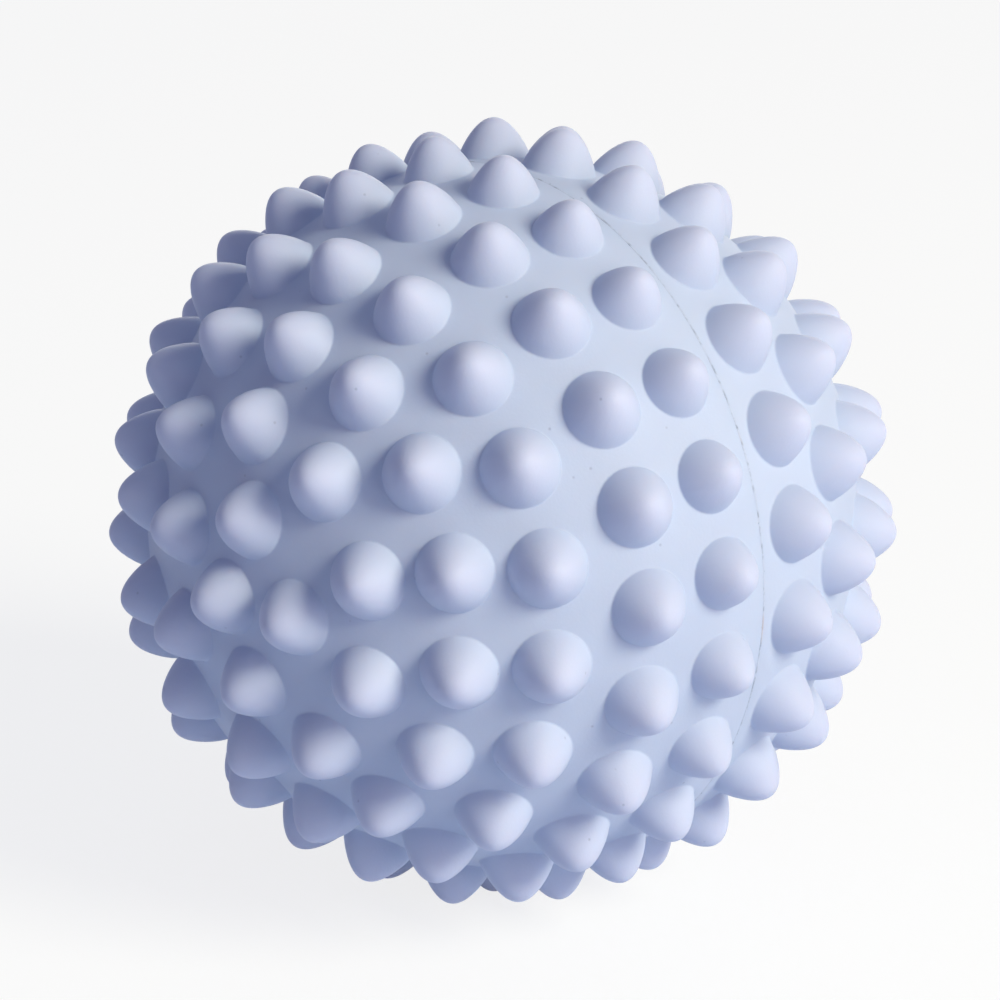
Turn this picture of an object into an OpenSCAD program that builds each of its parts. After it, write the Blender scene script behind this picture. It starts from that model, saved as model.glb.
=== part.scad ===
// Sensory ball of soft rubber: two moulded half shells covered in blunt knobs and bonded
// edge to edge, with a stoppered air valve at the pole of the rear half.
// The mould axis lies along Y with the front pole at -Y, so the seam stands upright in the
// XZ plane. The origin is the centre of the ball.

/* [Ball] */
// Diameter of the plain ball under the knobs
body_d = 90; // [84:1:130]
// Wall thickness of the half shells
wall_t = 3; // [2:0.1:4]

/* [Knobs] */
// Height of a knob's tip above the ball
knob_h = 5; // [4:0.1:6]
// Diameter of a knob where its side runs into the ball
knob_foot_d = 9.3; // [8.5:0.1:9.6]
// Radius of the rounded tip
knob_tip_r = 2.5; // [2:0.1:2.8]
// Radius of the bulging side
knob_side_r = 9; // [8:0.5:14]
// Radius of the fillet round the foot
knob_root_r = 0.6; // [0.4:0.1:0.8]

/* [Seam] */
// Width of the bond between the rims, which shows outside as a raised line
seam_w = 0.3; // [0.2:0.1:0.8]
// Height of that line above the ball
seam_h = 0.2; // [0.1:0.1:0.6]
// Bevel on the inner edge of each rim, which the bond fills
rim_bevel = 1; // [0.5:0.1:1.5]

/* [Valve] */
// Diameter of the stopper's head
head_d = 9; // [7:0.1:9.4]
// Height of the stopper's head, from its seat to its crown
head_h = 2; // [1.5:0.1:2.5]
// Thickness of the head's rounded rim
head_rim_t = 1; // [0.8:0.1:1.2]
// Depth of the seat below the ball's surface
seat_depth = 0.8; // [0.5:0.1:1.2]
// Diameter of the stopper's stem
stem_d = 3.8; // [3:0.1:4]
// Length of the stem below the head
stem_len = 10; // [7:0.5:11]
// Number of sealing ridges round the stem
ridge_count = 3; // [1:1:3]
// Distance from one sealing ridge to the next
ridge_pitch = 2.4; // [1.5:0.1:2.6]
// Radius of a sealing ridge
ridge_r = 0.6; // [0.4:0.1:0.8]
// Bore of the valve sleeve
bore_d = 4.4; // [4.2:0.1:5]
// Wall of the valve sleeve
sleeve_wall = 1; // [0.8:0.1:1.4]
// Length of the valve sleeve, from its seat inwards
sleeve_len = 12; // [11.5:0.5:18]
// Diameter of the flange that seals the sleeve inside the ball
flange_d = 12; // [10:0.5:13]
// Thickness of that flange
flange_t = 1.2; // [0.8:0.1:2]
// Diameter of the thick pad inside the rear half that carries the sleeve
pad_d = 15; // [14:0.5:20]
// Height of the pad below the inner wall
pad_h = 1.5; // [1:0.1:3]

/* [Fits] */
// Gap round the stopper's head in its seat
head_gap = 0.3; // [0.2:0.05:0.4]
// Gap between the sealing ridges and the bore
ridge_gap = 0.05; // [0.02:0.01:0.1]
// Gap for the cement round the sleeve
cement_gap = 0.1; // [0.05:0.05:0.2]

/* [Hidden] */
$fn = 48;

rubber_color = "#b7c1e3";
seam_color = "#c3cbe9";
valve_color = "#ecedf2";

// How far cuts run past what they cut
overrun = 1;
// How far the knob's arcs dip past tangent, so that they cross each other and the ball cleanly
arc_dip = 0.01;

// Rings of knobs on one half: angle from the pole, knobs in the ring
rings = [
    [13.8, 5],
    [27, 10],
    [40.4, 15],
    [54, 19],
    [68.8, 22],
    [82.1, 24],
];
// Turn of each ring about the mould axis, on either half as it leaves the mould
front_turns = [0, 17, 15.4, 13.2, 3.6, 6.4];
rear_turns = [0, 17, 1.2, 18.3, 15.4, 4.6];

body_r = body_d / 2;
inner_r = body_r - wall_t;
seam_half = seam_w / 2;

// Where two circles cross, on the side to the right of the way from a to b
function crossing(a, ra, b, rb) =
    let (way = b - a, gap = norm(way), along = (ra * ra - rb * rb + gap * gap) / (2 * gap))
    let (off = sqrt(ra * ra - along * along), u = way / gap)
    a + along * u + off * [u.y, -u.x];

// The knob's outline is a tip arc, a wider side arc that runs on from it and ends on the ball,
// and a root arc that leads from the side into the ball.
foot_r = knob_foot_d / 2;
foot = [foot_r, sqrt(body_r * body_r - foot_r * foot_r)];
tip_c = [0, body_r + knob_h - knob_tip_r];
side_offset = knob_side_r - knob_tip_r;
foot_way = foot - tip_c;
side_reach = knob_side_r * knob_side_r - side_offset * side_offset - foot_way * foot_way;
tip_angle = atan2(foot_way.y, foot_way.x) + acos(side_reach / (2 * side_offset * norm(foot_way)));
tip_way = [cos(tip_angle), sin(tip_angle)];
side_c = tip_c - side_offset * tip_way;
tip_end = tip_c + knob_tip_r * tip_way;
root_c = crossing(
    [0, 0], body_r + knob_root_r - arc_dip,
    side_c, knob_side_r + knob_root_r - arc_dip
);
root_in = side_c + (knob_side_r - knob_root_r) * (root_c - side_c) / norm(root_c - side_c);
knob_base_z = body_r - wall_t / 2;

// Heights along the valve's axis, from the centre of the ball
seat_z = body_r - seat_depth;
head_r = head_d / 2;
stem_r = stem_d / 2;
bore_r = bore_d / 2;
sleeve_r = bore_r + sleeve_wall;
pad_r = pad_d / 2;
pad_face_z = inner_r - pad_h;
pad_top_z = sqrt(inner_r * inner_r - pad_r * pad_r) + wall_t / 2;

// Outline of a knob, standing on the ball along +Y of the sketch
module knob_profile() {
    // Bulging side, with the tip rounded off
    intersection() {
        translate(side_c) circle(knob_side_r);
        union() {
            translate([0, knob_base_z]) square([knob_foot_d, tip_end.y - knob_base_z]);
            intersection() {
                translate(tip_c) circle(knob_tip_r + arc_dip);
                translate([0, knob_base_z]) square(knob_foot_d);
            }
        }
    }
    // Flare round the foot, hollowed by the root arc
    difference() {
        polygon([
            root_in,
            root_c,
            root_c * knob_base_z / norm(root_c),
            [root_in.x, knob_base_z],
        ]);
        translate(root_c) circle(knob_root_r);
    }
}

module knob() {
    rotate_extrude() knob_profile();
}

// Wall of one half in section, from the pole down to the bevelled rim
module shell_profile() {
    difference() {
        intersection() {
            difference() {
                circle(body_r);
                circle(inner_r);
            }
            translate([0, seam_half]) square(body_d);
        }
        polygon([
            [inner_r + rim_bevel + overrun, seam_half - overrun],
            [inner_r - overrun, seam_half + rim_bevel + overrun],
            [inner_r - overrun, seam_half - overrun],
        ]);
    }
}

// One moulding with its rings of knobs, pole up, as it leaves the mould
module half_shell(turns) {
    rotate_extrude() shell_profile();
    for (k = [0 : len(rings) - 1])
        for (i = [0 : rings[k][1] - 1])
            rotate([0, rings[k][0], turns[k] + 360 / rings[k][1] * i]) knob();
}

// Places a pole-up half, or a piece on its axis, at the front or the rear of the ball
module at_front() {
    rotate([90, 0, 0]) children();
}

module at_rear() {
    at_front() rotate([180, 0, 0]) children();
}

module front_half() {
    color(rubber_color) at_front() {
        half_shell(front_turns);
        knob();
    }
}

module rear_half() {
    color(rubber_color) at_rear() difference() {
        union() {
            half_shell(rear_turns);
            translate([0, 0, pad_face_z]) cylinder(h = pad_top_z - pad_face_z, r = pad_r);
        }
        translate([0, 0, pad_face_z - overrun])
            cylinder(h = overrun + seat_z - pad_face_z + overrun, r = sleeve_r + cement_gap);
        translate([0, 0, seat_z]) cylinder(h = seat_depth + overrun, r = head_r + head_gap);
    }
}

module seam_bead() {
    color(seam_color) at_front() rotate_extrude() {
        polygon([
            [inner_r, -seam_half - rim_bevel],
            [inner_r + rim_bevel, -seam_half],
            [body_r + seam_h - seam_half, -seam_half],
            [body_r + seam_h - seam_half, seam_half],
            [inner_r + rim_bevel, seam_half],
            [inner_r, seam_half + rim_bevel],
        ]);
        translate([body_r + seam_h - seam_half, 0]) circle(seam_half);
    }
}

module valve_sleeve() {
    color(valve_color) at_rear() rotate_extrude() polygon([
        [bore_r, seat_z],
        [sleeve_r, seat_z],
        [sleeve_r, pad_face_z],
        [flange_d / 2, pad_face_z],
        [flange_d / 2, pad_face_z - flange_t],
        [sleeve_r, pad_face_z - flange_t],
        [bore_r + sleeve_wall / 2, seat_z - sleeve_len],
        [bore_r, seat_z - sleeve_len],
    ]);
}

module stopper_profile() {
    rim_r = head_rim_t / 2;
    rim_x = head_r - rim_r;
    dome_h = head_h - head_rim_t;
    dome_r = (rim_x * rim_x + dome_h * dome_h) / (2 * dome_h);
    nose_z = seat_z - stem_len + stem_r;
    translate([0, seat_z]) square([rim_x, head_rim_t]);
    translate([rim_x, seat_z + rim_r]) circle(rim_r);
    intersection() {
        translate([0, seat_z + head_h - dome_r]) circle(dome_r);
        translate([0, seat_z + head_rim_t]) square(head_d);
    }
    translate([0, nose_z]) square([stem_r, seat_z - nose_z]);
    intersection() {
        translate([0, nose_z]) circle(stem_r);
        translate([0, nose_z - stem_d]) square(stem_d);
    }
    for (i = [1 : ridge_count])
        translate([bore_r - ridge_gap - ridge_r, seat_z - ridge_pitch * i]) circle(ridge_r);
}

module valve_stopper() {
    color(valve_color) at_rear() rotate_extrude() stopper_profile();
}

front_half();
rear_half();
seam_bead();
valve_sleeve();
valve_stopper();
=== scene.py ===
from math import acos, atan2, cos, pi, radians, sin, sqrt, tau

import bmesh
import bpy
from mathutils import Matrix, Vector


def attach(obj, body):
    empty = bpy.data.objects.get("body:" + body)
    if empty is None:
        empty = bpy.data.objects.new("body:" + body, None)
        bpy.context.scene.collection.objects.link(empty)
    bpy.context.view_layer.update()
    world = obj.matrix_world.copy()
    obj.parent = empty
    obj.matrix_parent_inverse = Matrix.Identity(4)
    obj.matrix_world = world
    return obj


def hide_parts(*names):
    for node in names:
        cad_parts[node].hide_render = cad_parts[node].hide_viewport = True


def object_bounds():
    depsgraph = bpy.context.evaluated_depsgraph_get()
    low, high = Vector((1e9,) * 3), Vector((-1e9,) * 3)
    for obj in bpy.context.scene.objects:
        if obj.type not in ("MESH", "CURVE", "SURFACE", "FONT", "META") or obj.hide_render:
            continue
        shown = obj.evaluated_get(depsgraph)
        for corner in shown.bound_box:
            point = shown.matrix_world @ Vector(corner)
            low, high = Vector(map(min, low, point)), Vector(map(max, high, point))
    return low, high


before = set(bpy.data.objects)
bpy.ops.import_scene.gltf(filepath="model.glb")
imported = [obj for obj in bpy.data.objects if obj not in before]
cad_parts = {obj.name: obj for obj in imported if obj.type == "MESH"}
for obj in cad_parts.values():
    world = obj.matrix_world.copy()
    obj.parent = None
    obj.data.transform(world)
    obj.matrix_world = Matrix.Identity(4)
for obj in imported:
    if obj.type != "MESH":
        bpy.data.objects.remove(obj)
cad_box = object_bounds()

# Front half shell
# The front half of a hollow ball of soft vinyl rubber, cast in one piece with its 96 solid knobs.
# Its plain rim is bonded edge to edge to the rear half.
MM = 0.001
BALL_R = 45 * MM
WALL = 3 * MM
KNOB_H = 5 * MM
KNOB_TIP_R = 2.25 * MM
KNOB_FOOT_R = 4.6 * MM
KNOB_FOOT_DROP = 0.3 * MM
KNOB_FOOT_POWER = 16
KNOB_ROOT_R = 0.3 * MM
KNOB_SKIRT = 0.1 * MM
KNOB_SEGMENTS = 36
SIDE_STEPS = 14
ROOT_STEPS = 6
RIM_BEVEL = 1 * MM
RIM_ROUND = 0.06 * MM
RIM_STEPS = 3
SEAM_HALF = 0.1 * MM
WALL_SEGMENTS = 216
WALL_STEPS = 14
WELD = 0.001 * MM
CLOUD_SIZE = 12 * MM
# The blasted mould's grain is finer than this, and is drawn as coarse as it needs to be to show
GRAIN_SIZE = 0.4 * MM
GRAIN_DEPTH = 0.015 * MM
FLECK_PITCH = 4.2 * MM
FLECK_R = 0.25 * MM
FLECK_CORE = 0.05 * MM
FLECK_DEPTH = 0.03 * MM
SCATTER = 1.2 * MM
RUBBER_COLOR = "#BCC6E1"
RUBBER_DEEP_COLOR = "#B6C0DC"
# Painted light: a paler colour for the knob tips, standing in for the light they catch above the
# shaded hollows between the knobs
RUBBER_PAINTED_TIP_LIGHT_COLOR = "#C4C9E6"
FLECK_COLOR = "#A6AECA"
# Angle from the pole and knobs in each ring, each ring's turn about the mould axis, and the size
# of its knobs as a share of a full one: they are a little smaller beside the seam
POLE = (0, 1)
RINGS = [(13.8, 5), (27, 10), (40.4, 15), (54, 19), (68.8, 22), (82.1, 24)]
FRONT_TURNS = [0, 17, 15.4, 13.2, 3.6, 6.4]
FRONT_SHARES = [1, 1, 1, 1, 1, 0.93]
AT_FRONT = Matrix.Rotation(radians(90), 4, "X")


def heading(way):
    """Angle of a way in the sketch plane, from 0 to a full turn."""
    return atan2(way.y, way.x) % tau


def arc(centre, radius, start, end, steps):
    """Points of an arc in the sketch plane, from one angle to another."""
    angles = [start + (end - start) * i / steps for i in range(steps + 1)]
    return [centre + radius * Vector((cos(a), sin(a))) for a in angles]


def lathe(name, outline, segments):
    """An object that turns a sketched outline about the Z axis."""
    bm = bmesh.new()
    points = [bm.verts.new((p.x, 0, p.y)) for p in outline]
    edges = [bm.edges.new(pair) for pair in zip(points, points[1:])]
    bmesh.ops.spin(
        bm, geom=points + edges, cent=(0, 0, 0), axis=(0, 0, 1), angle=tau, steps=segments
    )
    bmesh.ops.remove_doubles(bm, verts=bm.verts, dist=WELD)
    bmesh.ops.recalc_face_normals(bm, faces=bm.faces)
    mesh = bpy.data.meshes.new(name)
    bm.to_mesh(mesh)
    bm.free()
    return bpy.data.objects.new(name, mesh)


def knob_outline():
    """A parabola that steepens to its foot, with a small fillet and a narrow skirt on the ball."""

    def side(x):
        steeper = KNOB_FOOT_DROP * (x / KNOB_FOOT_R) ** KNOB_FOOT_POWER
        return Vector((x, BALL_R + KNOB_H - x**2 / (2 * KNOB_TIP_R) - steeper))

    def fillet_centre(x):
        steeper = KNOB_FOOT_DROP * KNOB_FOOT_POWER * (x / KNOB_FOOT_R) ** KNOB_FOOT_POWER
        return side(x) + KNOB_ROOT_R * Vector((x**2 / KNOB_TIP_R + steeper, x)).normalized()

    low, high = WELD, KNOB_H
    while high - low > WELD:
        foot_x = (low + high) / 2
        if fillet_centre(foot_x).length > BALL_R + KNOB_ROOT_R:
            low = foot_x
        else:
            high = foot_x
    root_c = fillet_centre(foot_x)
    root = arc(root_c, KNOB_ROOT_R, heading(side(foot_x) - root_c), heading(-root_c), ROOT_STEPS)
    skirt_way = heading(root_c) - KNOB_SKIRT / BALL_R
    skirt = BALL_R * Vector((cos(skirt_way), sin(skirt_way)))
    outline = [side(foot_x * i / SIDE_STEPS) for i in range(SIDE_STEPS + 1)] + root[1:] + [skirt]
    return [p - Vector((0, BALL_R)) for p in outline]


def rim_outline():
    """The rim in section, from the ball's surface round its edge to the start of the inner wall."""
    edge_y = SEAM_HALF + RIM_ROUND
    edge_c = Vector((sqrt((BALL_R - RIM_ROUND) ** 2 - edge_y**2), edge_y))
    edge = arc(edge_c, RIM_ROUND, heading(edge_c), -pi / 2, RIM_STEPS)
    inner_r = BALL_R - WALL
    bevel = [(inner_r + RIM_BEVEL, SEAM_HALF), (inner_r, SEAM_HALF + RIM_BEVEL)]
    return edge + [Vector(p) for p in bevel]


def inner_wall(end):
    """The inner wall in section, from above the rim's bevel up to an angle from the equator."""
    inner_r = BALL_R - WALL
    return arc(Vector((0, 0)), inner_r, (SEAM_HALF + RIM_BEVEL) / inner_r, end, WALL_STEPS)[1:]


def add(tree, kind, links=None, **settings):
    """Adds a node with its settings, and links or fills its inputs."""
    node = tree.nodes.new(kind)
    for name, value in settings.items():
        setattr(node, name, value)
    for socket, value in (links or {}).items():
        if isinstance(value, bpy.types.NodeSocket):
            tree.links.new(value, node.inputs[socket])
        else:
            node.inputs[socket].default_value = value
    return node


def tree_with(name, sockets):
    """A geometry node tree with named inputs, and its group input and output nodes."""
    tree = bpy.data.node_groups.new(name, "GeometryNodeTree")
    tree.interface.new_socket("Geometry", in_out="OUTPUT", socket_type="NodeSocketGeometry")
    tree.interface.new_socket("Geometry", in_out="INPUT", socket_type="NodeSocketGeometry")
    for socket, kind in sockets.items():
        tree.interface.new_socket(socket, in_out="INPUT", socket_type="NodeSocket" + kind)
    return tree, add(tree, "NodeGroupInput").outputs, add(tree, "NodeGroupOutput").inputs


def knobbed_tree():
    """Stands a knob on each point, and stretches the ball's surface from foot to foot and wall."""
    tree, given, result = tree_with(
        "knobbed_half",
        {
            "Knob": "Object",
            "Wall": "Object",
            "Ball radius": "Float",
            "Weld": "Float",
            "Rubber": "Material",
        },
    )
    place = add(tree, "GeometryNodeInputPosition").outputs[0]
    upright = add(tree, "FunctionNodeAlignRotationToVector", {"Vector": place}, axis="Z")
    share = add(tree, "GeometryNodeInputNamedAttribute", {"Name": "share"}, data_type="FLOAT")
    knob = add(tree, "GeometryNodeObjectInfo", {"Object": given["Knob"]})
    stood = add(
        tree,
        "GeometryNodeInstanceOnPoints",
        {
            "Points": given["Geometry"],
            "Instance": knob.outputs["Geometry"],
            "Rotation": upright.outputs[0],
            "Scale": share.outputs[0],
        },
    )
    knobs = add(tree, "GeometryNodeRealizeInstances", {"Geometry": stood.outputs[0]})
    wall = add(tree, "GeometryNodeObjectInfo", {"Object": given["Wall"]})
    parts = add(tree, "GeometryNodeJoinGeometry", {"Geometry": knobs.outputs[0]})
    tree.links.new(wall.outputs["Geometry"], parts.inputs["Geometry"])

    # The open edges are laid flat from the far pole, filled, and bent back on to the ball
    faces = add(tree, "GeometryNodeInputMeshEdgeNeighbors")
    is_open = add(
        tree, "FunctionNodeCompare", {2: faces.outputs[0], 3: 1}, data_type="INT", operation="EQUAL"
    )
    edges = add(
        tree, "GeometryNodeMeshToCurve", {"Mesh": parts.outputs[0], "Selection": is_open.outputs[0]}
    )
    along = add(tree, "ShaderNodeSeparateXYZ", {0: place})
    height = add(
        tree, "ShaderNodeMath", {0: along.outputs["Z"], 1: given["Ball radius"]}, operation="ADD"
    )
    shrink = add(
        tree, "ShaderNodeMath", {0: given["Ball radius"], 1: height.outputs[0]}, operation="DIVIDE"
    )
    across = add(tree, "ShaderNodeVectorMath", {0: place, 1: (1, 1, 0)}, operation="MULTIPLY")
    flat = add(
        tree,
        "ShaderNodeVectorMath",
        {0: across.outputs[0], "Scale": shrink.outputs[0]},
        operation="SCALE",
    )
    laid = add(
        tree, "GeometryNodeSetPosition", {"Geometry": edges.outputs[0], "Position": flat.outputs[0]}
    )
    filled = add(tree, "GeometryNodeFillCurve", {"Curve": laid.outputs[0]})
    spread = add(
        tree, "ShaderNodeVectorMath", {0: place, 1: given["Ball radius"]}, operation="DIVIDE"
    )
    square = add(
        tree,
        "ShaderNodeVectorMath",
        {0: spread.outputs[0], 1: spread.outputs[0]},
        operation="DOT_PRODUCT",
    )
    below = add(tree, "ShaderNodeMath", {0: square.outputs["Value"], 1: 1.0}, operation="ADD")
    grow = add(tree, "ShaderNodeMath", {0: 2.0, 1: below.outputs[0]}, operation="DIVIDE")
    sideways = add(
        tree, "ShaderNodeVectorMath", {0: place, "Scale": grow.outputs[0]}, operation="SCALE"
    )
    drop = add(tree, "ShaderNodeMath", {0: grow.outputs[0], 1: 1.0}, operation="SUBTRACT")
    rise = add(
        tree, "ShaderNodeMath", {0: drop.outputs[0], 1: given["Ball radius"]}, operation="MULTIPLY"
    )
    upwards = add(tree, "ShaderNodeCombineXYZ", {"Z": rise.outputs[0]})
    bent = add(
        tree,
        "ShaderNodeVectorMath",
        {0: sideways.outputs[0], 1: upwards.outputs[0]},
        operation="ADD",
    )
    surface = add(
        tree,
        "GeometryNodeSetPosition",
        {"Geometry": filled.outputs[0], "Position": bent.outputs[0]},
    )

    whole = add(tree, "GeometryNodeJoinGeometry", {"Geometry": parts.outputs[0]})
    tree.links.new(surface.outputs[0], whole.inputs["Geometry"])
    joined = add(
        tree,
        "GeometryNodeMergeByDistance",
        {"Geometry": whole.outputs[0], "Distance": given["Weld"]},
    )
    smooth = add(tree, "GeometryNodeSetShadeSmooth", {"Geometry": joined.outputs[0]})
    done = add(
        tree,
        "GeometryNodeSetMaterial",
        {"Geometry": smooth.outputs[0], "Material": given["Rubber"]},
    )
    tree.links.new(done.outputs[0], result[0])
    return tree


def grown(piece, tree, values):
    """Runs a tree on a piece, and keeps the result as the piece's plain mesh."""
    bpy.context.scene.collection.objects.link(piece)
    modifier = piece.modifiers.new(tree.name, "NODES")
    modifier.node_group = tree
    for item in tree.interface.items_tree:
        if item.name in values:
            modifier[item.identifier] = values[item.name]
    bpy.context.view_layer.update()
    evaluated = piece.evaluated_get(bpy.context.evaluated_depsgraph_get())
    shape = bpy.data.meshes.new_from_object(evaluated)
    piece.modifiers.remove(modifier)
    piece.data = shape


def outwards(mesh):
    """Welds a closed mesh and turns its faces outwards."""
    bm = bmesh.new()
    bm.from_mesh(mesh)
    bmesh.ops.remove_doubles(bm, verts=bm.verts, dist=WELD)
    bmesh.ops.recalc_face_normals(bm, faces=bm.faces)
    bm.to_mesh(mesh)
    bm.free()


def linear(hex_color):
    """An sRGB hex colour as linear RGBA."""
    parts = [int(hex_color[i : i + 2], 16) / 255 for i in (1, 3, 5)]
    return [c / 12.92 if c <= 0.04045 else ((c + 0.055) / 1.055) ** 2.4 for c in parts] + [1]


def moulded_rubber():
    """Vinyl rubber from a blasted mould: matte, clouded, grained and flecked; its paler tips are
    painted light.
    """
    material = bpy.data.materials.new("moulded_vinyl_rubber")
    material.use_nodes = True
    tree = material.node_tree
    shader = tree.nodes["Principled BSDF"]
    place = add(tree, "ShaderNodeTexCoord").outputs["Object"]
    clouds = add(
        tree, "ShaderNodeTexNoise", {"Vector": place, "Scale": 1 / CLOUD_SIZE, "Detail": 3}
    )
    tone = add(
        tree,
        "ShaderNodeMix",
        {"Factor": clouds.outputs["Fac"], 6: linear(RUBBER_DEEP_COLOR), 7: linear(RUBBER_COLOR)},
        data_type="RGBA",
    )
    reach = add(tree, "ShaderNodeVectorMath", {0: place}, operation="LENGTH")
    # Painted light: the colour turns paler from the ball's surface up to the knob tips, standing in
    # for the light the caps catch above the shaded hollows and the light that glows through the
    # knobs
    painted_tip_light = add(
        tree,
        "ShaderNodeMapRange",
        {"Value": reach.outputs["Value"], "From Min": BALL_R, "From Max": BALL_R + KNOB_H},
    )
    skin = add(
        tree,
        "ShaderNodeMix",
        {"Factor": painted_tip_light.outputs[0], 6: tone.outputs[2], 7: linear(RUBBER_PAINTED_TIP_LIGHT_COLOR)},
        data_type="RGBA",
    )
    cells = add(tree, "ShaderNodeTexVoronoi", {"Vector": place, "Scale": 1 / FLECK_PITCH})
    fleck = add(
        tree,
        "ShaderNodeMapRange",
        {
            "Value": cells.outputs["Distance"],
            "From Min": FLECK_R / FLECK_PITCH,
            "From Max": FLECK_CORE / FLECK_PITCH,
        },
    )
    flecked = add(
        tree,
        "ShaderNodeMix",
        {"Factor": fleck.outputs[0], 6: skin.outputs[2], 7: linear(FLECK_COLOR)},
        data_type="RGBA",
    )
    tree.links.new(flecked.outputs[2], shader.inputs["Base Color"])
    grain = add(tree, "ShaderNodeTexNoise", {"Vector": place, "Scale": 1 / GRAIN_SIZE, "Detail": 2})
    pitted = add(
        tree,
        "ShaderNodeMath",
        {0: fleck.outputs[0], 1: -FLECK_DEPTH / GRAIN_DEPTH, 2: grain.outputs["Fac"]},
        operation="MULTIPLY_ADD",
    )
    bump = add(tree, "ShaderNodeBump", {"Height": pitted.outputs[0], "Distance": GRAIN_DEPTH})
    tree.links.new(bump.outputs[0], shader.inputs["Normal"])
    shader.inputs["Roughness"].default_value = 0.6
    shader.inputs["Specular IOR Level"].default_value = 0.3
    shader.inputs["Subsurface Weight"].default_value = 0.3
    shader.inputs["Subsurface Radius"].default_value = (1.0, 0.6, 0.45)
    shader.inputs["Subsurface Scale"].default_value = SCATTER
    return material


rubber = moulded_rubber()
knob_section = knob_outline()
knob = lathe("knob", knob_section, KNOB_SEGMENTS)
half_tree = knobbed_tree()


def knob_points(rings, turns, shares):
    """Points on a pole-up half where its knobs stand, each with the size of its knob."""
    places, sizes = [], []
    for (angle, count), turn, share in zip(rings, turns, shares):
        skirt = share * knob_section[-1]
        seat = Vector((0, 0, sqrt(BALL_R**2 - skirt.x**2) - skirt.y))
        for i in range(count):
            way = Matrix.Rotation(radians(turn) + tau * i / count, 3, "Z")
            tilt = Matrix.Rotation(radians(angle), 3, "Y")
            places.append(way @ tilt @ seat)
            sizes.append(share)
    points = bpy.data.meshes.new("knob_points")
    points.from_pydata(places, [], [])
    points.attributes.new("share", "FLOAT", "POINT").data.foreach_set("value", sizes)
    return points


def half_shell(name, points, wall, to_place):
    """One half with its knobs, set in its place on the ball."""
    piece = bpy.data.objects.new(name, points)
    values = {"Knob": knob, "Wall": wall, "Ball radius": BALL_R, "Weld": WELD, "Rubber": rubber}
    grown(piece, half_tree, values)
    outwards(piece.data)
    piece.data.transform(to_place)
    bpy.data.objects.remove(wall)
    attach(piece, "ball")
    return piece


front_wall = lathe("front_wall", rim_outline() + inner_wall(pi / 2), WALL_SEGMENTS)
front_points = knob_points([POLE] + RINGS, [0] + FRONT_TURNS, [1] + FRONT_SHARES)
front_skin = half_shell("front_half_skin", front_points, front_wall, AT_FRONT)
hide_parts("front_half")

# Rear half shell
# A like casting turned over and bonded on behind. In place of its pole knob it has a recess and
# a hole for the air valve, with a thick pad inside to carry it.
REAR_TURNS = [0, 17, 1.2, 18.3, 15.4, 4.6]
REAR_SHARES = [1, 1, 1, 1, 1, 1]
AT_REAR = AT_FRONT @ Matrix.Rotation(pi, 4, "X")
SEAT_DEPTH = 0.8 * MM
SEAT_Z = BALL_R - SEAT_DEPTH
SEAT_R = 4.8 * MM
SEAT_ROUND = 0.25 * MM
PAD_R = 7.5 * MM
PAD_H = 1.5 * MM
PAD_Z = BALL_R - WALL - PAD_H
HOLE_R = 3.3 * MM


def valve_seat_outline():
    """The valve's place in section, from the pad inside to the rounded lip of the recess."""
    lip_x = SEAT_R + SEAT_ROUND
    lip_c = Vector((lip_x, sqrt((BALL_R - SEAT_ROUND) ** 2 - lip_x**2)))
    pad = [Vector((PAD_R, PAD_Z)), Vector((HOLE_R, PAD_Z))]
    seat = [Vector((HOLE_R, SEAT_Z)), Vector((SEAT_R, SEAT_Z))]
    return pad + seat + arc(lip_c, SEAT_ROUND, pi, heading(lip_c), RIM_STEPS)


rear_wall = lathe(
    "rear_wall",
    rim_outline() + inner_wall(acos(PAD_R / (BALL_R - WALL))) + valve_seat_outline(),
    WALL_SEGMENTS,
)
rear_points = knob_points(RINGS, REAR_TURNS, REAR_SHARES)
rear_skin = half_shell("rear_half_skin", rear_points, rear_wall, AT_REAR)
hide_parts("rear_half")
bpy.data.objects.remove(knob)

# Seam bead
# The bond that welds the two rims together. It fills the bevels inside and squeezes out as a fine,
# ragged line round the ball, trimmed nearly flush, with crumbs of flash left along it.
SEAM_CREST = 0.03 * MM
SEAM_SKIN = 0.1 * MM
SEAM_LAP = 0.22 * MM
SEAM_STEPS = 6
SEAM_SEGMENTS = 900
SEAM_WANDER = 0.14 * MM
SEAM_WAVE = 1.5 * MM
CRUMBS = 120
CRUMB_R = 0.12 * MM
CRUMB_ROUGHNESS = 0.35
CRUMB_SMALLEST = 0.3
CRUMB_STRAY = Vector((1.5, 1.5, 0.14)) * MM
CRUMB_SEED = 7
BOND_COLOR = "#B6BFDA"
DIRT_COLOR = "#98A1BC"
DIRT_SIZE = 1.2 * MM
DIRT_FROM, DIRT_TO = 0.36, 0.52
STAIN_COLOR = "#B9ADB8"
STAIN_SIZE = 9 * MM
STAIN_FROM, STAIN_TO = 0.6, 0.75
RAG_SIZE = 0.25 * MM
RAG_DEPTH = 0.04 * MM


def bead_outline():
    """The bond in section: the filled bevels, the web between the rims and a low, lapping crest."""
    inner_r = BALL_R - WALL
    lower = [
        Vector((inner_r, -SEAM_HALF - RIM_BEVEL)),
        Vector((inner_r + RIM_BEVEL, -SEAM_HALF)),
        Vector((BALL_R - SEAM_SKIN, -SEAM_HALF)),
    ]
    upper = [Vector((p.x, -p.y)) for p in reversed(lower)]
    crest = []
    for i in range(SEAM_STEPS + 1):
        lean = pi * i / SEAM_STEPS - pi / 2
        rise = (SEAM_SKIN + SEAM_CREST) * cos(lean)
        crest.append(Vector((BALL_R - SEAM_SKIN + rise, SEAM_LAP * sin(lean))))
    return lower + crest + upper + lower[:1]


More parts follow.
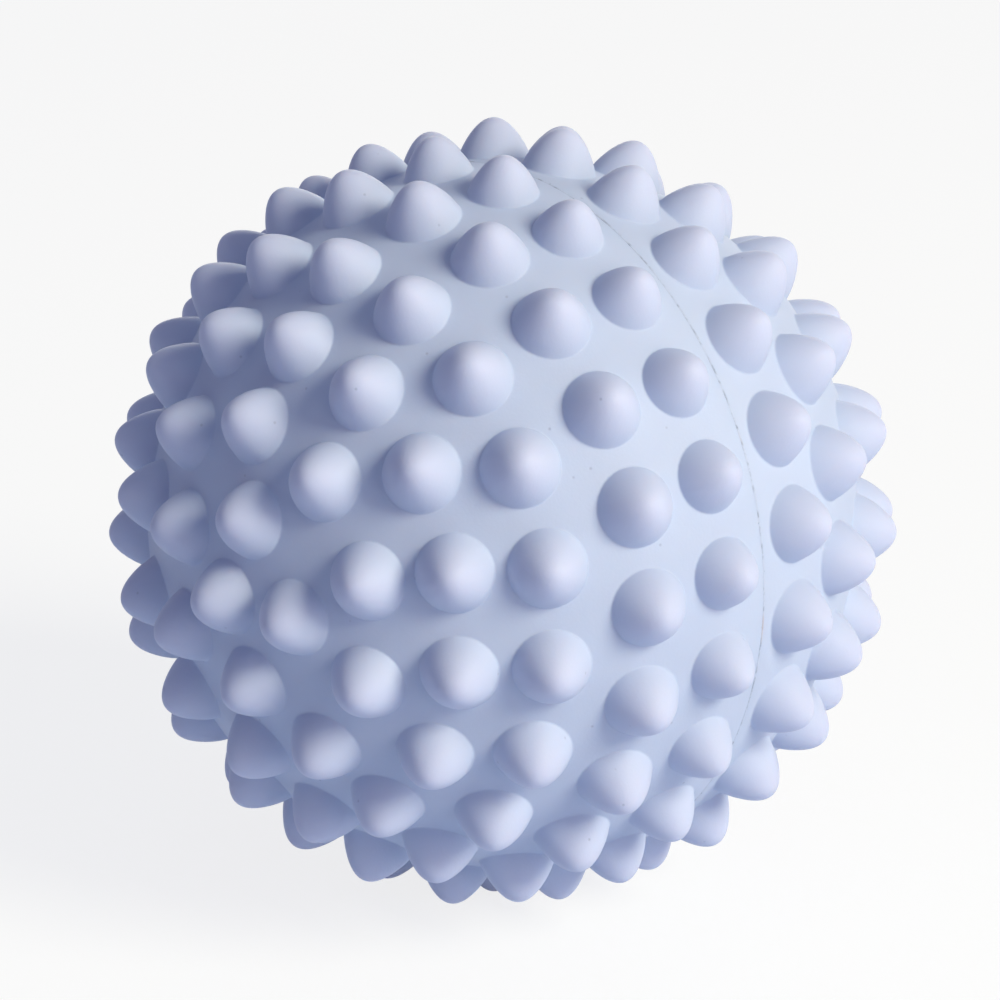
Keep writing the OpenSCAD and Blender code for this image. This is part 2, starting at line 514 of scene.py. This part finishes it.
def seam_tree():
    """Lets the bead's crest wander and swell, and sets crumbs of flash along it."""
    tree, given, result = tree_with(
        "seam_line",
        {
            "Crumb": "Object",
            "Ball radius": "Float",
            "Skin": "Float",
            "Wander": "Float",
            "Wave": "Float",
            "Crumbs": "Int",
            "Smallest crumb": "Float",
            "Stray": "Vector",
            "Seed": "Int",
            "Bond": "Material",
        },
    )
    place = add(tree, "GeometryNodeInputPosition").outputs[0]
    pitch = add(tree, "ShaderNodeMath", {0: 1.0, 1: given["Wave"]}, operation="DIVIDE")
    noise = add(
        tree, "ShaderNodeTexNoise", {"Vector": place, "Scale": pitch.outputs[0], "Detail": 2.0}
    )
    centred = add(
        tree,
        "ShaderNodeVectorMath",
        {0: noise.outputs["Color"], 1: (0.5, 0.5, 0.5)},
        operation="SUBTRACT",
    )
    shift = add(
        tree,
        "ShaderNodeVectorMath",
        {0: centred.outputs[0], "Scale": given["Wander"]},
        operation="SCALE",
    )
    reach = add(tree, "ShaderNodeVectorMath", {0: place}, operation="LENGTH")
    depth = add(
        tree, "ShaderNodeMath", {0: given["Ball radius"], 1: given["Skin"]}, operation="SUBTRACT"
    )
    is_crest = add(
        tree,
        "FunctionNodeCompare",
        {0: reach.outputs["Value"], 1: depth.outputs[0]},
        data_type="FLOAT",
        operation="GREATER_THAN",
    )
    bead = add(
        tree,
        "GeometryNodeSetPosition",
        {
            "Geometry": given["Geometry"],
            "Selection": is_crest.outputs[0],
            "Offset": shift.outputs[0],
        },
    )
    line = add(
        tree,
        "GeometryNodeCurvePrimitiveCircle",
        {"Resolution": given["Crumbs"], "Radius": given["Ball radius"]},
    )
    spots = add(tree, "GeometryNodeCurveToPoints", {"Curve": line.outputs[0]}, mode="EVALUATED")
    back = add(tree, "ShaderNodeVectorMath", {0: given["Stray"], "Scale": -1.0}, operation="SCALE")
    astray = add(
        tree,
        "FunctionNodeRandomValue",
        {0: back.outputs[0], 1: given["Stray"], "Seed": given["Seed"]},
        data_type="FLOAT_VECTOR",
    )
    strewn = add(
        tree,
        "GeometryNodeSetPosition",
        {"Geometry": spots.outputs[0], "Offset": astray.outputs[0]},
    )
    direction = add(tree, "ShaderNodeVectorMath", {0: place}, operation="NORMALIZE")
    on_ball = add(
        tree,
        "ShaderNodeVectorMath",
        {0: direction.outputs[0], "Scale": given["Ball radius"]},
        operation="SCALE",
    )
    seated = add(
        tree,
        "GeometryNodeSetPosition",
        {"Geometry": strewn.outputs[0], "Position": on_ball.outputs[0]},
    )
    crumb = add(tree, "GeometryNodeObjectInfo", {"Object": given["Crumb"]})
    turn = add(
        tree,
        "FunctionNodeRandomValue",
        {0: (0, 0, 0), 1: (tau, tau, tau), "Seed": given["Seed"]},
        data_type="FLOAT_VECTOR",
    )
    size = add(
        tree,
        "FunctionNodeRandomValue",
        {2: given["Smallest crumb"], 3: 1.0, "Seed": given["Seed"]},
        data_type="FLOAT",
    )
    crumbs = add(
        tree,
        "GeometryNodeInstanceOnPoints",
        {
            "Points": seated.outputs[0],
            "Instance": crumb.outputs["Geometry"],
            "Rotation": turn.outputs[0],
            "Scale": size.outputs[1],
        },
    )
    both = add(tree, "GeometryNodeJoinGeometry", {"Geometry": bead.outputs[0]})
    tree.links.new(crumbs.outputs[0], both.inputs["Geometry"])
    real = add(tree, "GeometryNodeRealizeInstances", {"Geometry": both.outputs[0]})
    smooth = add(tree, "GeometryNodeSetShadeSmooth", {"Geometry": real.outputs[0]})
    done = add(
        tree,
        "GeometryNodeSetMaterial",
        {"Geometry": smooth.outputs[0], "Material": given["Bond"]},
    )
    tree.links.new(done.outputs[0], result[0])
    return tree


def squeezed_bond():
    """The same rubber squeezed out and trimmed: matte, with caught dirt and faint stains."""
    material = bpy.data.materials.new("squeezed_bond_rubber")
    material.use_nodes = True
    tree = material.node_tree
    shader = tree.nodes["Principled BSDF"]
    place = add(tree, "ShaderNodeTexCoord").outputs["Object"]
    dirt = add(tree, "ShaderNodeTexNoise", {"Vector": place, "Scale": 1 / DIRT_SIZE, "Detail": 3})
    clean = add(
        tree,
        "ShaderNodeMapRange",
        {"Value": dirt.outputs["Fac"], "From Min": DIRT_FROM, "From Max": DIRT_TO},
    )
    line = add(
        tree,
        "ShaderNodeMix",
        {"Factor": clean.outputs[0], 6: linear(DIRT_COLOR), 7: linear(BOND_COLOR)},
        data_type="RGBA",
    )
    patches = add(
        tree, "ShaderNodeTexNoise", {"Vector": place, "Scale": 1 / STAIN_SIZE, "Detail": 1}
    )
    stain = add(
        tree,
        "ShaderNodeMapRange",
        {"Value": patches.outputs["Fac"], "From Min": STAIN_FROM, "From Max": STAIN_TO},
    )
    stained = add(
        tree,
        "ShaderNodeMix",
        {"Factor": stain.outputs[0], 6: line.outputs[2], 7: linear(STAIN_COLOR)},
        data_type="RGBA",
    )
    tree.links.new(stained.outputs[2], shader.inputs["Base Color"])
    rag = add(tree, "ShaderNodeTexNoise", {"Vector": place, "Scale": 1 / RAG_SIZE, "Detail": 2})
    bump = add(tree, "ShaderNodeBump", {"Height": rag.outputs["Fac"], "Distance": RAG_DEPTH})
    tree.links.new(bump.outputs[0], shader.inputs["Normal"])
    shader.inputs["Roughness"].default_value = 0.5
    shader.inputs["Specular IOR Level"].default_value = 0.3
    return material


bm = bmesh.new()
bmesh.ops.create_icosphere(bm, subdivisions=1, radius=CRUMB_R)
for i, vert in enumerate(bm.verts):
    vert.co *= 1 + CRUMB_ROUGHNESS * sin(i * i)
crumb_mesh = bpy.data.meshes.new("crumb")
bm.to_mesh(crumb_mesh)
bm.free()
crumb = bpy.data.objects.new("crumb", crumb_mesh)
seam = lathe("seam_line", bead_outline(), SEAM_SEGMENTS)
seam_values = {
    "Crumb": crumb,
    "Ball radius": BALL_R,
    "Skin": SEAM_SKIN / 2,
    "Wander": SEAM_WANDER,
    "Wave": SEAM_WAVE,
    "Crumbs": CRUMBS,
    "Smallest crumb": CRUMB_SMALLEST,
    "Stray": CRUMB_STRAY,
    "Seed": CRUMB_SEED,
    "Bond": squeezed_bond(),
}
grown(seam, seam_tree(), seam_values)
outwards(seam.data)
seam.data.transform(AT_FRONT)
bpy.data.objects.remove(crumb)
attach(seam, "ball")
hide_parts("seam_bead")

# Valve sleeve
# A flanged tube of soft vinyl, cemented from inside into the rear half's pad. Only its bore shows,
# when the stopper is pulled out, so its solid is kept as it is.
VINYL_COLOR = "#EBECF1"
VINYL_DEEP_COLOR = "#DFE1E8"
VINYL_CLOUD_SIZE = 2 * MM
VINYL_GRAIN_SIZE = 0.3 * MM
VINYL_GRAIN_DEPTH = 0.03 * MM


def milky_vinyl():
    """Unfilled soft vinyl: milky white and faintly clouded, with a smooth satin skin."""
    material = bpy.data.materials.new("milky_soft_vinyl")
    material.use_nodes = True
    tree = material.node_tree
    shader = tree.nodes["Principled BSDF"]
    place = add(tree, "ShaderNodeTexCoord").outputs["Object"]
    clouds = add(
        tree, "ShaderNodeTexNoise", {"Vector": place, "Scale": 1 / VINYL_CLOUD_SIZE, "Detail": 3}
    )
    tone = add(
        tree,
        "ShaderNodeMix",
        {"Factor": clouds.outputs["Fac"], 6: linear(VINYL_DEEP_COLOR), 7: linear(VINYL_COLOR)},
        data_type="RGBA",
    )
    tree.links.new(tone.outputs[2], shader.inputs["Base Color"])
    grain = add(
        tree, "ShaderNodeTexNoise", {"Vector": place, "Scale": 1 / VINYL_GRAIN_SIZE, "Detail": 2}
    )
    bump = add(
        tree,
        "ShaderNodeBump",
        {"Height": grain.outputs["Fac"], "Strength": 0.1, "Distance": VINYL_GRAIN_DEPTH},
    )
    tree.links.new(bump.outputs[0], shader.inputs["Normal"])
    shader.inputs["Roughness"].default_value = 0.38
    shader.inputs["IOR"].default_value = 1.53
    return material


vinyl = milky_vinyl()
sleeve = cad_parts["valve_sleeve"]
sleeve.data.materials.clear()
sleeve.data.materials.append(vinyl)

# Valve stopper
# A solid plug of the same vinyl with a domed head that lies in the recess, and three sealing ridges
# round its stem. It pushes into the sleeve and pulls straight out.
HEAD_R = 4.5 * MM
HEAD_H = 2 * MM
HEAD_RIM_R = 0.5 * MM
STEM_R = 1.9 * MM
STEM_LEN = 10 * MM
RIDGE_R = 0.6 * MM
RIDGE_OUT_R = 2.15 * MM
RIDGE_PITCH = 2.4 * MM
RIDGES = 3
STOPPER_SEGMENTS = 72
STOPPER_STEPS = 8


def stopper_outline():
    """The stopper in section, from the nose of its stem up to the crown of its head."""
    nose_c = Vector((0, SEAT_Z - STEM_LEN + STEM_R))
    outline = arc(nose_c, STEM_R, -pi / 2, 0, STOPPER_STEPS)
    ridge_x = RIDGE_OUT_R - RIDGE_R
    flank = acos((STEM_R - ridge_x) / RIDGE_R)
    for i in range(RIDGES, 0, -1):
        ridge_c = Vector((ridge_x, SEAT_Z - RIDGE_PITCH * i))
        outline += arc(ridge_c, RIDGE_R, -flank, flank, STOPPER_STEPS)
    rim_x = HEAD_R - HEAD_RIM_R
    rim_c = Vector((rim_x, SEAT_Z + HEAD_RIM_R))
    rise = HEAD_H - HEAD_RIM_R
    dome_r = (rim_x**2 + rise**2 - HEAD_RIM_R**2) / (2 * (rise - HEAD_RIM_R))
    dome_c = Vector((0, SEAT_Z + HEAD_H - dome_r))
    dome_end = heading(rim_c - dome_c)
    outline.append(Vector((STEM_R, SEAT_Z)))
    outline += arc(rim_c, HEAD_RIM_R, -pi / 2, dome_end, STOPPER_STEPS)
    return outline + arc(dome_c, dome_r, dome_end, pi / 2, STOPPER_STEPS)[1:]


stopper = lathe("valve_stopper_plug", stopper_outline(), STOPPER_SEGMENTS)
bpy.context.scene.collection.objects.link(stopper)
stopper.data.transform(AT_REAR)
stopper.data.materials.append(vinyl)
stopper.data.shade_smooth()
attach(stopper, "stopper")
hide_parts("valve_stopper")

# Floor
# A plain round studio table, wide enough to fill the view behind the ball. It lights the ball as
# pale blue paper does; seen by the camera most of its white is its own, so that the ball's shadow
# stays faint.
FLOOR_R = 1.5
FLOOR_SIDES = 96
FLOOR_COLOR = "#DAE7FC"
FLOOR_SHADE = "#808080"
FLOOR_GLOW = 0.8
floor_z = cad_box[0][2]
floor_mesh = bpy.data.meshes.new("floor")
floor_edge = arc(Vector((0, 0)), FLOOR_R, 0, tau, FLOOR_SIDES)[1:]
floor_mesh.from_pydata([(p.x, p.y, floor_z) for p in floor_edge], [], [range(FLOOR_SIDES)])
floor = bpy.data.objects.new("floor", floor_mesh)
bpy.context.scene.collection.objects.link(floor)


def seen_white(tree):
    """1 for what the camera sees, also mirrored or through glass, and 0 for light on the ball."""
    path = add(tree, "ShaderNodeLightPath").outputs
    mirrored = add(
        tree,
        "ShaderNodeMath",
        {0: path["Is Camera Ray"], 1: path["Is Glossy Ray"]},
        operation="MAXIMUM",
    )
    return add(
        tree,
        "ShaderNodeMath",
        {0: mirrored.outputs[0], 1: path["Is Transmission Ray"]},
        operation="MAXIMUM",
    ).outputs[0]


white_table = bpy.data.materials.new("white_table")
white_table.use_nodes = True
table_tree = white_table.node_tree
table_shader = table_tree.nodes["Principled BSDF"]
table_seen = seen_white(table_tree)
paper = add(
    table_tree,
    "ShaderNodeMix",
    {"Factor": table_seen, 6: linear(FLOOR_COLOR), 7: linear(FLOOR_SHADE)},
    data_type="RGBA",
)
table_tree.links.new(paper.outputs[2], table_shader.inputs["Base Color"])
table_shader.inputs["Roughness"].default_value = 0.9
table_shader.inputs["Specular IOR Level"].default_value = 0
table_shader.inputs["Emission Color"].default_value = (1, 1, 1, 1)
glow = add(table_tree, "ShaderNodeMath", {0: table_seen, 1: FLOOR_GLOW}, operation="MULTIPLY")
table_tree.links.new(glow.outputs[0], table_shader.inputs["Emission Strength"])
floor_mesh.materials.append(white_table)

# Camera
# A long lens, a little above the ball and turned to see both its front pole and its seam.
CAMERA_AZIMUTH = radians(46.52)
CAMERA_ELEVATION = radians(19.04)
CAMERA_DISTANCE = 443.5 * MM


def away(azimuth, elevation):
    """The way from the ball out to an azimuth and elevation, where azimuth 0 is towards -Y."""
    return Vector((sin(azimuth) * cos(elevation), -cos(azimuth) * cos(elevation), sin(elevation)))


camera_data = bpy.data.cameras.new("camera")
camera_data.lens = 125.4
camera_data.shift_x = -0.00266
camera_data.shift_y = 0.01213
camera_data.clip_start = 0.01
camera = bpy.data.objects.new("camera", camera_data)
bpy.context.scene.collection.objects.link(camera)
camera.location = CAMERA_DISTANCE * away(CAMERA_AZIMUTH, CAMERA_ELEVATION)
camera.rotation_euler = (pi / 2 - CAMERA_ELEVATION, 0, CAMERA_AZIMUTH)
bpy.context.scene.camera = camera
bpy.context.scene.view_settings.view_transform = "Standard"

# Light
# A warm softbox on the right, weak ones overhead and low in front, one behind for the side that the
# camera doesn't see, and a dim room.
LAMP_DISTANCE = 2.0
ROOM_COLOR = "#CECEFF"
ROOM_STRENGTH = 0.245


def softbox(name, azimuth, elevation, size, power, color):
    """A round softbox aimed at the ball, with its azimuth counted from the camera."""
    lamp = bpy.data.lights.new(name, "AREA")
    lamp.shape = "DISK"
    lamp.size = size
    lamp.energy = power
    lamp.color = linear(color)[:3]
    box = bpy.data.objects.new(name, lamp)
    bpy.context.scene.collection.objects.link(box)
    box.location = LAMP_DISTANCE * away(CAMERA_AZIMUTH + radians(azimuth), radians(elevation))
    box.rotation_euler = box.location.to_track_quat("Z", "Y").to_euler()


softbox("key", azimuth=53.5, elevation=32.5, size=0.9, power=37.2, color="#FFFBDE")
softbox("overhead", azimuth=0, elevation=85, size=1.5, power=2.9, color="#CCF8FF")
softbox("low_front", azimuth=40, elevation=8, size=1.2, power=9, color="#FFF4E8")
softbox("back", azimuth=180, elevation=6, size=1.2, power=10, color="#FFF8E4")
world = bpy.data.worlds.new("white_room")
bpy.context.scene.world = world
world.use_nodes = True
room_tree = world.node_tree
room = room_tree.nodes["Background"]
room.inputs["Color"].default_value = linear(ROOM_COLOR)
room.inputs["Strength"].default_value = ROOM_STRENGTH
backdrop = add(room_tree, "ShaderNodeBackground", {"Color": (1, 1, 1, 1), "Strength": 1.0})
seen = add(
    room_tree,
    "ShaderNodeMixShader",
    {0: seen_white(room_tree), 1: room.outputs[0], 2: backdrop.outputs[0]},
)
room_tree.links.new(seen.outputs[0], room_tree.nodes["World Output"].inputs["Surface"])
